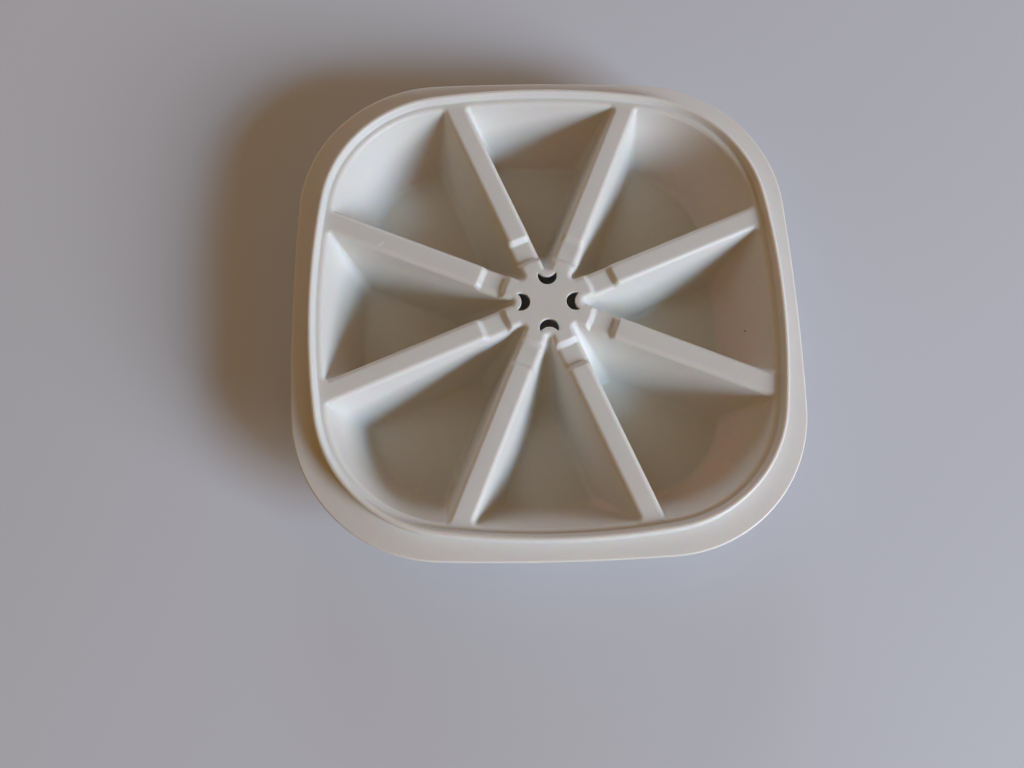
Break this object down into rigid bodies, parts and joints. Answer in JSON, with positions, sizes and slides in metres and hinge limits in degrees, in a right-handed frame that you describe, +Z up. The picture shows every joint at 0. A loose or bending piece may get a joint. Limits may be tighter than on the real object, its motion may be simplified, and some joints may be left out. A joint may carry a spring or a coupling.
{
  "type": "divided ice cube tray",
  "caption": "Rounded-square moulded tray of wedge pockets round a flat hub, with hollow notched dividers, a raised rim bead, a lower outer flange and crescent slots in the hub.",
  "frame": {"origin": "under the middle of the hub, in the plane of the pockets' undersides, which the tray stands on", "axes": "+Z up through the hub, +X and +Y through the middles of two neighbouring sides"},
  "size_m": [0.2, 0.2, 0.0384],
  "materials": {
    "tray_plastic": "satin natural white polyethylene, faintly mottled"
  },
  "bodies": {
    "root": {"flange": "tray_plastic", "rim_bead": "tray_plastic", "rim_ledge": "tray_plastic", "hub_plate": "tray_plastic", "divider_1": "tray_plastic", "divider_2": "tray_plastic", "divider_3": "tray_plastic", "divider_4": "tray_plastic", "divider_5": "tray_plastic", "divider_6": "tray_plastic", "divider_7": "tray_plastic", "divider_8": "tray_plastic", "pocket_1": "tray_plastic", "pocket_2": "tray_plastic", "pocket_3": "tray_plastic", "pocket_4": "tray_plastic", "pocket_5": "tray_plastic", "pocket_6": "tray_plastic", "pocket_7": "tray_plastic", "pocket_8": "tray_plastic"}
  },
  "joints": []
}
